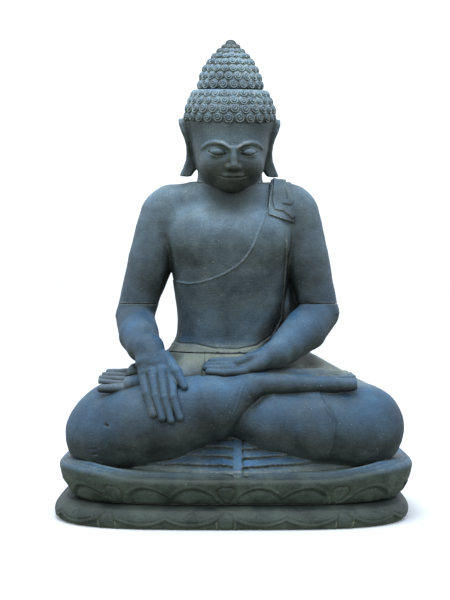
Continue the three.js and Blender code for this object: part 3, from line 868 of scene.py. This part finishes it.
def hair_radius(z):
    """Half width of the hair mass at a height of the head's own frame, as a share of its widest."""
    up = np.clip((z - HAIR_CENTRE) / HAIR_RADII[2], -1, 1)
    dome = np.sqrt(np.maximum(1 - up**2, 0))
    nape = 1 - 0.13 * ramp(HAIR_CENTRE, 40, z)
    return np.where(z > HAIR_CENTRE, dome, nape)


def curl(u, v, w, radius):
    """A snail curl: a domed button whose spiral groove winds out of its middle."""
    flat = np.sqrt(u * u + v * v)
    dome = (np.sqrt(flat * flat + (w * 1.6) ** 2) - radius) * 0.8
    turns = flat / (radius * 0.42) - np.arctan2(v, u) / (2 * math.pi)
    groove = np.cos(2 * math.pi * turns) * ramp(radius * 1.05, radius * 0.7, flat)
    return dome - 0.11 * radius * groove


def curl_ring(q, rx, ry, z, lean, count, stagger, radius):
    """A ring of curls round the head's axis. lean is how far the ring's surface faces up, in radians."""
    pitch = 2 * math.pi / count
    angle = np.arctan2(q[1] / ry, q[0] / rx)
    cell = (np.round(angle / pitch - stagger) + stagger) * pitch
    cos, sin = np.cos(cell), np.sin(cell)
    dx, dy, dz = q[0] - rx * cos, q[1] - ry * sin, q[2] - z
    tx, ty = -rx * sin, ry * cos
    length = np.hypot(tx, ty)
    tx, ty = tx / length, ty / length
    by_hand = np.sin(23.0 * cell + z)
    across = dx * tx + dy * ty + 0.7 * by_hand
    outwards = dx * ty - dy * tx
    up = dz * math.cos(lean) - outwards * math.sin(lean) + 0.9 * np.sin(41.0 * cell + 2.0 * z)
    out = outwards * math.cos(lean) + dz * math.sin(lean)
    return curl(across, up, out, radius * (1 + 0.05 * by_hand))


def hairline(q):
    """Positive above the hairline: level over the brow, and down to the nape behind the ears."""
    side = ramp(60, 92, np.abs(q[0]))
    forehead = HAIRLINE_Z + 1 + 3 * side
    nape = 44.0
    height = forehead + (nape - forehead) * ramp(6, 30, q[1])
    return q[2] - height


CURL = 12.3
CAP_ROWS = (54, 73, 92, 111, 136, 154, 170, 184)


def hair_cap(q):
    x, y, z = q
    share = hair_radius(z)
    rx, ry = HAIR_RADII[0] * share + 0.1, HAIR_RADII[1] * share + 0.1
    k = np.sqrt((x / rx) ** 2 + (y / ry) ** 2)
    cap = k * (k - 1) / (np.sqrt((x / rx**2) ** 2 + (y / ry**2) ** 2) + 1e-6) * 0.7
    rows = None
    for index, height in enumerate(CAP_ROWS):
        here = float(hair_radius(np.array([height]))[0])
        above = float(hair_radius(np.array([height + 4.0]))[0])
        lean = math.atan2((here - above) * HAIR_RADII[0], 4.0)
        radius = CURL if height < 160 else CURL * 0.85
        ring_x, ring_y = HAIR_RADII[0] * here, HAIR_RADII[1] * here
        count = max(8, round(2 * math.pi * (ring_x + ring_y) / 2 / (radius * 1.86)))
        ring = curl_ring(q, ring_x, ring_y, height, lean, count, 0.5 * (index % 2), radius)
        rows = ring if rows is None else join(1.5, rows, ring)
    return join(2, cap, rows)


def head_surface(q):
    body = skull(q)
    m = mirrored(q)
    body = detail(m, body, (-1, -140, 30), (80, -40, 115), eyes)
    body = detail(m, body, (-1, -150, -45), (75, -30, 90), nose_and_mouth)
    body = detail(m, body, (8, -140, 40), (58, -60, 90), eye_lines)
    near = inside_box(q, (-125, -125, 20), (125, 125, 215))
    if near.size:
        local = q[:, near]
        hair = np.maximum(hair_cap(local), -hairline(local) - 1.5)
        body[near] = join(1.5, body[near], hair)
    return detail(m, body, (55, -40, -20), (130, 45, 150), ear)


def head(p):
    """The head and the top of the neck. The jaw hangs in front of the neck's lower half."""
    q = to_head(p)
    radius = np.hypot(q[0], q[1])
    bottom = -rim_gap(radius - NECK_RIM)
    torso_neck = detail(
        p,
        np.full(p.shape[1], 40.0, np.float32),
        (-120, -130, 650),
        (110, 110, 720),
        lambda near, _: torso_with_robe(near) - 0.6,
    )
    shapes = np.maximum(head_surface(q), -np.maximum(torso_neck, q[2] - bottom))
    neck = np.maximum(np.maximum(trunk(p), p[2] - 750), bottom - q[2])
    body = join(8, shapes, neck)
    return np.maximum(body, q[2] - (USHNISHA_SEAM - MORTAR + rim_gap(radius - USHNISHA_RIM)))


USHNISHA_HEIGHT = 104.0
USHNISHA_RADIUS = 67.0
USHNISHA_ROWS = [
    (8.0, 11.0), (25.0, 10.5), (41.0, 9.8), (55.0, 9.0), (68.0, 8.0), (79.0, 7.0), (88.5, 6.0),
]


def ushnisha_radius(height):
    t = np.clip(height / USHNISHA_HEIGHT, 0, 1)
    return USHNISHA_RADIUS * (1 - t**2)


def ushnisha(p):
    q = to_head(p)
    height = q[2] - USHNISHA_SEAM
    core = (np.hypot(q[0], q[1]) - ushnisha_radius(height) + 4.0) * 0.7
    core = np.maximum(core, height - USHNISHA_HEIGHT)
    body = join(3, core, ellipsoid(q, (0, 0, USHNISHA_SEAM + 93), (12, 12, 10)))
    for index, (at, radius) in enumerate(USHNISHA_ROWS):
        here = float(ushnisha_radius(np.array(at)))
        lean = math.atan2(here - float(ushnisha_radius(np.array(at + 2.0))), 2.0)
        count = max(5, round(2 * math.pi * here / (radius * 1.86)))
        ring = curl_ring(q, here - 3, here - 3, USHNISHA_SEAM + at, lean, count, 0.5 * (index % 2), radius)
        body = join(1.5, body, ring)
    return np.maximum(body, -height - rim_gap(np.hypot(q[0], q[1]) - USHNISHA_RIM))


# ---- from fields to meshes

CELL = 8
WORKERS = 4


def evaluate(field, points, batch=120000):
    """field at many points, in parallel."""
    pieces = [points[:, i : i + batch] for i in range(0, points.shape[1], batch)]
    with ThreadPoolExecutor(WORKERS) as pool:
        return np.concatenate(list(pool.map(field, pieces)))


def sample(field, low, high, step):
    """field on a grid over a box. Only cells near the surface are worked out point by point."""
    low = vec(*low)
    cells = np.ceil((vec(*high) - low) / (step * CELL)).astype(int)
    index = np.indices(cells).reshape(3, -1)
    corners = (low[:, None] + index * (step * CELL)).astype(np.float32)
    rough = evaluate(field, corners + np.float32(step * (CELL - 1) / 2))
    far = (np.where(rough < 0, -3, 3) * step).astype(np.float32).reshape(cells)
    blocks = np.empty((cells[0], CELL, cells[1], CELL, cells[2], CELL), dtype=np.float32)
    blocks[:] = far[:, None, :, None, :, None]
    near = np.flatnonzero(np.abs(rough) < step * CELL * 0.87 + 9)
    offsets = (np.indices((CELL, CELL, CELL)).reshape(3, -1) * step).astype(np.float32)

    def fill(some):
        points = (corners[:, some, None] + offsets[:, None, :]).reshape(3, -1)
        values = field(points).reshape(-1, CELL, CELL, CELL)
        i, j, k = index[:, some]
        blocks[i, :, j, :, k, :] = values

    with ThreadPoolExecutor(WORKERS) as pool:
        list(pool.map(fill, np.array_split(near, max(1, len(near) // 200))))
    grid = blocks.reshape(cells * CELL)
    return np.clip(grid, -3 * step, 3 * step)


def settle(field, points, step):
    """Points moved onto the surface, with its outward directions there."""
    reach = np.float32(0.4)
    value = evaluate(field, points)
    slope = np.empty_like(points)
    for axis in range(3):
        ahead = points.copy()
        ahead[axis] += reach
        slope[axis] = (evaluate(field, ahead) - value) / reach
    length = np.maximum(size_of(slope), 0.2)
    move = np.clip(value / length, -0.6 * step, 0.6 * step)
    return points - slope / length * move, slope / length


def figure(p):
    """The whole figure without its fine carving, to tell how deep a place lies between its parts."""
    parts = [trunk(p), skull(to_head(p)), seated_legs(p), both(upper_arm, p), both(lower_arm, p)]
    return np.minimum.reduce(parts)


EDGE = 14.0  # room round a node for the carving that stands out from it
EDGE_AND_GROOVE_REACH = np.float32(5.0)  # how near an edge or a groove has to be to count
RECESS_REACH = np.float32(32.0)  # how near another part of the figure has to be to shut out the sky


def add_object(name, data):
    made = bpy.data.objects.new(name, data)
    bpy.context.scene.collection.objects.link(made)
    return made


def sculpt(node, field, step, more=0):
    """The mesh where field is zero, as an object that stands for a CAD node.

    more is how much further than EDGE it may reach past the node's sides and top.
    """
    slot = SLOTS[node]
    name = f"{node.removesuffix('_filler')}_{slot}"
    low, high = box_mm(node)
    low, high = low - (EDGE + more, EDGE + more, EDGE), high + EDGE + more
    grid = openvdb.FloatGrid(3 * step)
    grid.copyFromArray(sample(field, low, high, step))
    points, triangles, quads = grid.convertToPolygons(0.0, 0.0)
    points = (vec(*low) + points.astype(np.float32) * np.float32(step)).T.copy()
    points, normals = settle(field, points, step)
    # Masks for worn edges, for grime and painted shade in grooves, and for painted shade and less painted
    # sky light in recesses.
    wear_and_shade = {
        "hollow": np.clip(1 - evaluate(field, points + normals * EDGE_AND_GROOVE_REACH) / EDGE_AND_GROOVE_REACH, 0, 1),
        "ridge": np.clip(1 + evaluate(field, points - normals * EDGE_AND_GROOVE_REACH) / EDGE_AND_GROOVE_REACH, 0, 1),
        "recess": np.clip(1 - evaluate(figure, points + normals * RECESS_REACH) / RECESS_REACH, 0, 1),
    }

    mesh = bpy.data.meshes.new(name)
    mesh.vertices.add(points.shape[1])
    mesh.vertices.foreach_set("co", (points.T * 0.001).astype(np.float32).ravel())
    corners = np.concatenate([quads[:, ::-1].ravel(), triangles[:, ::-1].ravel()]).astype(np.int32)
    sizes = np.concatenate([np.full(len(quads), 4), np.full(len(triangles), 3)]).astype(np.int32)
    mesh.loops.add(len(corners))
    mesh.loops.foreach_set("vertex_index", corners)
    mesh.polygons.add(len(sizes))
    starts = np.concatenate([[0], np.cumsum(sizes)[:-1]]).astype(np.int32)
    mesh.polygons.foreach_set("loop_start", starts)
    mesh.polygons.foreach_set("loop_total", sizes)
    mesh.update(calc_edges=True)
    mesh.shade_smooth()
    for key, values in wear_and_shade.items():
        attribute = mesh.attributes.new(key, "FLOAT", "POINT")
        attribute.data.foreach_set("value", values.astype(np.float32))
    mesh.materials.append(FINISHES[slot])
    made = add_object(name, mesh)
    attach(made, "root")
    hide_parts(node)


# ---- materials


class Nodes:
    """A short way to write the node tree of a new material or world."""

    def __init__(self, owner):
        owner.use_nodes = True
        self.owner = owner
        self.tree = owner.node_tree
        self.tree.nodes.clear()
        self.coordinates = self.add("ShaderNodeTexCoord").outputs
        self.where = self.coordinates["Object"]

    def add(self, kind, inputs=(), **settings):
        node = self.tree.nodes.new(kind)
        for key, value in settings.items():
            setattr(node, key, value)
        for key, value in dict(inputs).items():
            if isinstance(value, bpy.types.NodeSocket):
                self.tree.links.new(value, node.inputs[key])
            else:
                node.inputs[key].default_value = value
        return node

    def noise(self, scale, detail_level=4.0, rough=0.55, where=None):
        where = self.where if where is None else where
        settings = {"Vector": where, "Scale": scale, "Detail": detail_level, "Roughness": rough}
        return self.add("ShaderNodeTexNoise", settings).outputs["Fac"]

    def stretched(self, scale, rotation=(0.0, 0.0, 0.0)):
        """Coordinates in which a texture is drawn out along the axes with a small scale."""
        settings = {"Vector": self.where, "Scale": scale, "Rotation": rotation}
        return self.add("ShaderNodeMapping", settings).outputs[0]

    def attribute(self, name):
        return self.add("ShaderNodeAttribute", attribute_name=name).outputs["Fac"]

    def ramp(self, value, low, high, to_low=0.0, to_high=1.0):
        settings = {"Value": value, "From Min": low, "From Max": high, "To Min": to_low, "To Max": to_high}
        return self.add("ShaderNodeMapRange", settings).outputs["Result"]

    def math(self, operation, a, b=0.0):
        return self.add("ShaderNodeMath", {0: a, 1: b}, operation=operation).outputs[0]

    def times(self, first, *others):
        for other in others:
            first = self.math("MULTIPLY", first, other)
        return first

    def mix(self, share, a, b, blend="MIX"):
        node = self.add("ShaderNodeMix", {0: share, 6: a, 7: b}, data_type="RGBA", blend_type=blend)
        return node.outputs[2]

    def finish(self, colour, rough, relief, strength, depth, more=()):
        """The finished material. depth is how deep the relief is, in metres."""
        bump = self.add("ShaderNodeBump", {"Height": relief, "Strength": strength, "Distance": depth})
        inputs = {"Base Color": colour, "Roughness": rough, "Normal": bump.outputs[0], **dict(more)}
        shader = self.add("ShaderNodeBsdfPrincipled", inputs)
        self.add("ShaderNodeOutputMaterial", {"Surface": shader.outputs[0]})
        return self.owner


class StoneNodes(Nodes):
    """Nodes with what the stone's finish depends on: place, facing, how deep it lies, and noise."""

    def __init__(self, owner):
        super().__init__(owner)
        self.x, self.y, self.height = self.add("ShaderNodeSeparateXYZ", {0: self.where}).outputs
        normal = self.add("ShaderNodeNewGeometry").outputs["Normal"]
        self.facing = self.add("ShaderNodeSeparateXYZ", {0: normal}).outputs["Z"]
        self.hollow = self.attribute("hollow")
        self.ridge = self.attribute("ridge")
        self.recess = self.attribute("recess")
        self.patches = self.noise(22.0, 5.0, 0.6)
        self.grain = self.noise(420.0, 3.0, 0.6)
        self.speckle = self.noise(150.0, 4.0, 0.65)
        cells = self.add("ShaderNodeTexVoronoi", {"Vector": self.where, "Scale": 95.0})
        self.spots = cells.outputs["Distance"]

    def high(self, low, high, to_low=0.0, to_high=1.0):
        """A ramp between two heights above the floor, in metres."""
        return self.ramp(self.height, low, high, to_low, to_high)


def stone_with_painted_sky_light(n):
    """Grey-green stone, with bluish sky light painted where it faces up and is open to the sky."""
    colour = n.mix(n.ramp(n.patches, 0.34, 0.66), (0.022, 0.031, 0.027, 1), (0.062, 0.080, 0.072, 1))
    below_knees = n.high(0.215, 0.190, 0.0, 0.8)
    # Painted sky light: bluish in patches on what faces up, little of it low down, and less where other
    # parts shut out the sky, though not below the knees.
    painted_sky_light = n.times(
        n.ramp(n.facing, -0.35, 0.7),
        n.ramp(n.noise(6.0, 3.0), 0.34, 0.58, 0.45, 1.0),
        n.high(0.090, 0.125, 0.10, 1.0),
        n.math("MAXIMUM", n.ramp(n.recess, 0.20, 0.80, 1.0, 0.15), below_knees),
    )
    sky_tint = n.mix(n.high(0.40, 0.52), (0.032, 0.098, 0.178, 1), (0.066, 0.110, 0.150, 1))
    return n.mix(painted_sky_light, colour, sky_tint)


def with_dust_and_groove_shade(n, colour):
    """Pale dust on what faces up, thickest in the lap, and dark dirt with painted shade in the grooves."""
    lap = n.times(
        n.high(0.250, 0.295),
        n.high(0.362, 0.350),
        n.ramp(n.y, -0.125, -0.095),
        n.ramp(n.x, -0.195, -0.175),
        n.ramp(n.y, 0.120, 0.020),
        n.ramp(n.patches, 0.30, 0.55, 0.55, 1.0),
        0.95,
    )
    round_seat = n.times(n.ramp(n.recess, 0.15, 0.55), n.high(0.130, 0.115, 0.0, 0.5))
    sheltered = n.times(n.math("MAXIMUM", round_seat, lap), n.ramp(n.facing, -0.1, 0.5))
    settled = n.times(n.ramp(n.facing, 0.25, 0.95), n.ramp(n.patches, 0.42, 0.62), 0.22)
    colour = n.mix(n.math("MAXIMUM", settled, sheltered), colour, (0.180, 0.208, 0.165, 1))
    # Dark grime and painted shade in grooves and creases, where the hollow mask is high.
    groove_grime_and_shade = n.times(n.ramp(n.hollow, 0.18, 0.62), n.ramp(n.speckle, 0.30, 0.62, 0.25, 0.85), 0.7)
    return n.mix(groove_grime_and_shade, colour, (0.062, 0.066, 0.042, 1))


def with_wear_and_foot_highlight(n, colour):
    """Stone rubbed pale on its edges, with a painted highlight on the left foot, chipped, and streaked."""
    worn = n.times(n.ramp(n.ridge, 0.30, 0.85), n.ramp(n.speckle, 0.35, 0.60, 0.3, 1.0), 0.55)
    colour = n.mix(worn, colour, (0.220, 0.240, 0.215, 1))
    # A painted highlight: the left foot's toes and sole made pale and bluish.
    foot = n.times(
        n.ramp(n.x, -0.205, -0.225),
        n.high(0.262, 0.275),
        n.high(0.325, 0.310, 0.0, 0.5),
    )
    colour = n.mix(foot, colour, (0.170, 0.200, 0.215, 1))
    chips = n.times(n.ramp(n.spots, 0.15, 0.07), n.ramp(n.noise(31.0, 2.0), 0.52, 0.58), 0.6)
    colour = n.mix(chips, colour, (0.26, 0.29, 0.27, 1))
    turned = n.stretched((0.3, 0.4, 1.0), (0.0, 0.35, 0.2))
    streaks = n.ramp(n.noise(170.0, 3.0, 0.6, turned), 0.64, 0.72)
    streaks = n.times(streaks, n.ramp(n.noise(11.0, 2.0), 0.50, 0.60), 0.35)
    return n.mix(streaks, colour, (0.20, 0.22, 0.20, 1))


def stone_tone_and_shade(n, chin_shadow):
    """How light the stone is: lighter high up, with painted shade where other parts shut out the sky, on the
    outer sides of the arms and under the chin, and painted light and shade on the plinth by how it faces.
    """
    tone = n.times(
        n.high(0.82, 0.86, 1.0, 1.6),
        n.high(0.47, 0.60, 1.0, 1.6),
        n.ramp(n.grain, 0.3, 0.7, 0.70, 1.30),
        n.ramp(n.noise(13.0, 5.0, 0.65), 0.32, 0.68, 0.68, 1.32),
        n.high(0.13, 0.19, 1.18, 0.88),
        n.high(0.255, 0.275, 1.0, 1.2),
    )
    # Painted shade where other parts of the figure are near, weak low down, stronger higher up and strongest
    # at the neck.
    neck = n.high(0.60, 0.70, 0.0, 0.18)
    strength = n.math("ADD", n.high(0.20, 0.30, 0.15, 0.62), neck)
    depth = n.times(n.ramp(n.recess, 0.30, 0.90), strength)
    depth = n.math("MAXIMUM", depth, n.times(chin_shadow, 0.42))
    across = n.math("ABSOLUTE", n.math("ADD", n.x, -MIDLINE / 1000))
    # Painted shade on the outer sides of the arms, from above the elbows to below the shoulders.
    arms = n.times(
        n.ramp(across, 0.118, 0.145),
        n.high(0.66, 0.58),
        n.high(0.40, 0.43),
        0.25,
    )
    # Painted light and shade on the plinth below about 10 cm, by how each face turns: faces that turn
    # sideways or down lighter, faces that turn up darker.
    plinth = n.times(n.high(0.115, 0.100), n.ramp(n.facing, -0.3, 0.8, -0.45, 0.42))
    shade = n.math("ADD", n.math("ADD", depth, arms), plinth)
    return n.times(tone, n.math("SUBTRACT", 1.0, shade))


def stone_relief(n):
    """Grain, tool marks and pits."""
    scratches = n.noise(240.0, 3.0, 0.6, n.stretched((0.12, 0.3, 1.0), (0.1, 0.06, 0.0)))
    relief = n.math("ADD", n.times(n.grain, 0.3), n.times(n.speckle, 0.6))
    relief = n.math("ADD", relief, n.times(scratches, 0.6))
    return n.math("SUBTRACT", relief, n.times(n.ramp(n.spots, 0.16, 0.04), 0.5))


def stone_material():
    """Dark grey-green basalt: painted bluish sky light where it faces up, painted shade in its recesses and
    under the chin, a painted highlight on the left foot, and dust in its hollows.
    """
    n = StoneNodes(bpy.data.materials.new("weathered_basalt_and_painted_light"))
    colour = with_wear_and_foot_highlight(n, with_dust_and_groove_shade(n, stone_with_painted_sky_light(n)))
    colour = n.mix(n.high(0.115, 0.100), colour, (0.80, 0.84, 0.69, 1), "MULTIPLY")
    # A painted shadow under the chin: darker and warmer round a point below it, and taken into the tone's
    # shade as well.
    to_chin = n.add("ShaderNodeVectorMath", {0: n.where, 1: (-0.012, -0.080, 0.688)}, operation="DISTANCE")
    chin_shadow = n.ramp(to_chin.outputs["Value"], 0.085, 0.045)
    colour = n.mix(chin_shadow, colour, (0.80, 0.74, 0.58, 1), "MULTIPLY")
    tone = stone_tone_and_shade(n, chin_shadow)
    grey = n.add("ShaderNodeCombineColor", {0: tone, 1: tone, 2: tone}).outputs[0]
    colour = n.mix(1.0, colour, grey, "MULTIPLY")
    rough = n.ramp(n.math("ADD", n.patches, n.times(n.grain, 0.4)), 0.4, 0.95, 0.44, 0.76)
    return n.finish(colour, rough, stone_relief(n), 0.6, 0.0018, {"Specular IOR Level": 0.45})


def mortar_material():
    n = Nodes(bpy.data.materials.new("old_lime_mortar"))
    patches = n.noise(45.0, 5.0)
    sand = n.noise(700.0, 3.0, 0.7)
    colour = n.mix(n.ramp(patches, 0.3, 0.7), (0.06, 0.06, 0.045, 1), (0.15, 0.14, 0.105, 1))
    colour = n.mix(n.ramp(sand, 0.45, 0.65, 0.0, 0.5), colour, (0.24, 0.225, 0.18, 1))
    return n.finish(colour, 0.92, n.math("ADD", sand, patches), 0.6, 0.001)


def steel_material():
    n = Nodes(bpy.data.materials.new("drawn_steel_bar"))
    lines = n.noise(900.0, 2.0, where=n.stretched((1.0, 1.0, 0.03)))
    rust = n.noise(60.0, 5.0)
    colour = n.mix(n.ramp(lines, 0.3, 0.7), (0.30, 0.31, 0.32, 1), (0.50, 0.51, 0.52, 1))
    colour = n.mix(n.ramp(rust, 0.55, 0.72, 0.0, 0.6), colour, (0.16, 0.07, 0.035, 1))
    return n.finish(colour, n.ramp(rust, 0.45, 0.7, 0.32, 0.75), lines, 0.3, 0.0004, {"Metallic": 1.0})


FINISHES = {"stone": stone_material(), "mortar": mortar_material(), "steel": steel_material()}
SLOTS = {row["node"]: row["material_slot"] for row in frame["record"]["subparts"]}
for carried_node, carried_slot in SLOTS.items():
    if carried_slot != "stone":
        carried = frame["nodes"][carried_node].data
        carried.materials.clear()
        carried.materials.append(FINISHES[carried_slot])


# ---- the statue

sculpt("lower_plinth", lower_plinth, PLINTH_STEP)
sculpt("upper_plinth", upper_plinth, PLINTH_STEP)
sculpt("crossed_legs", crossed_legs, BODY_STEP, more=6)
sculpt("torso", torso, BODY_STEP, more=4)
for shape, ending in ((forearm, "forearm"), (elbow_filler, "elbow_filler")):
    sculpt(f"right_{ending}", partial(shape, side=RIGHT), HAND_STEP)
    sculpt(f"left_{ending}", partial(shape, side=LEFT), HAND_STEP)
sculpt("head", head, HEAD_STEP)
sculpt("ushnisha", ushnisha, HEAD_STEP)


# ---- camera, floor and light


def camera():
    data = bpy.data.cameras.new("camera")
    data.sensor_width = 36
    data.lens = 72.95
    data.shift_x = -0.0158
    data.shift_y = -0.0265
    made = add_object("camera", data)
    made.location = (0, -2.6, 0.48)
    made.rotation_euler = (math.pi / 2, 0, 0)
    bpy.context.scene.camera = made


def floor():
    """A pale floor that catches the statue's shadow but throws no light back up at it."""
    half = 400.0
    mesh = bpy.data.meshes.new("floor")
    corners = [(-half, -half, 0), (half, -half, 0), (half, half, 0), (-half, half, 0)]
    mesh.from_pydata(corners, [], [(0, 1, 2, 3)])
    n = Nodes(bpy.data.materials.new("pale_floor"))
    shader = n.add("ShaderNodeBsdfPrincipled", {"Base Color": (0.86, 0.87, 0.87, 1), "Roughness": 0.9})
    n.add("ShaderNodeOutputMaterial", {"Surface": shader.outputs[0]})
    mesh.materials.append(n.owner)
    made = add_object("floor", mesh)
    made.location.z = -0.0005
    made.visible_diffuse = False
    made.visible_glossy = False


def overhead_light():
    """A soft light above and in front of the statue, turned to the middle of its lap."""
    data = bpy.data.lights.new("overhead", "AREA")
    data.shape = "DISK"
    data.size = 1.8
    data.energy = 55
    data.color = (0.88, 0.95, 1.0)
    made = add_object("overhead", data)
    made.location = (-0.3, -0.9, 3.4)
    direction = np.array([0, 0, 0.4]) - np.array(made.location)
    heading = math.atan2(direction[0], direction[1])
    pitch = math.atan2(direction[2], math.hypot(direction[0], direction[1]))
    made.rotation_euler = (math.pi / 2 + pitch, 0, -heading)


def overcast_sky():
    """Even, slightly blue light from above the horizon, and next to none from below it."""
    n = Nodes(bpy.data.worlds.new("overcast_sky"))
    up = n.add("ShaderNodeSeparateXYZ", {0: n.coordinates["Generated"]}).outputs["Z"]
    colour = n.mix(n.ramp(up, -0.20, 0.05), (0.17, 0.175, 0.15, 1), (0.88, 0.96, 1.08, 1))
    background = n.add("ShaderNodeBackground", {"Color": colour, "Strength": 1.35})
    n.add("ShaderNodeOutputWorld", {"Surface": background.outputs[0]})
    bpy.context.scene.world = n.owner


camera()
floor()
overcast_sky()
overhead_light()
bpy.context.scene.view_settings.view_transform = "Standard"
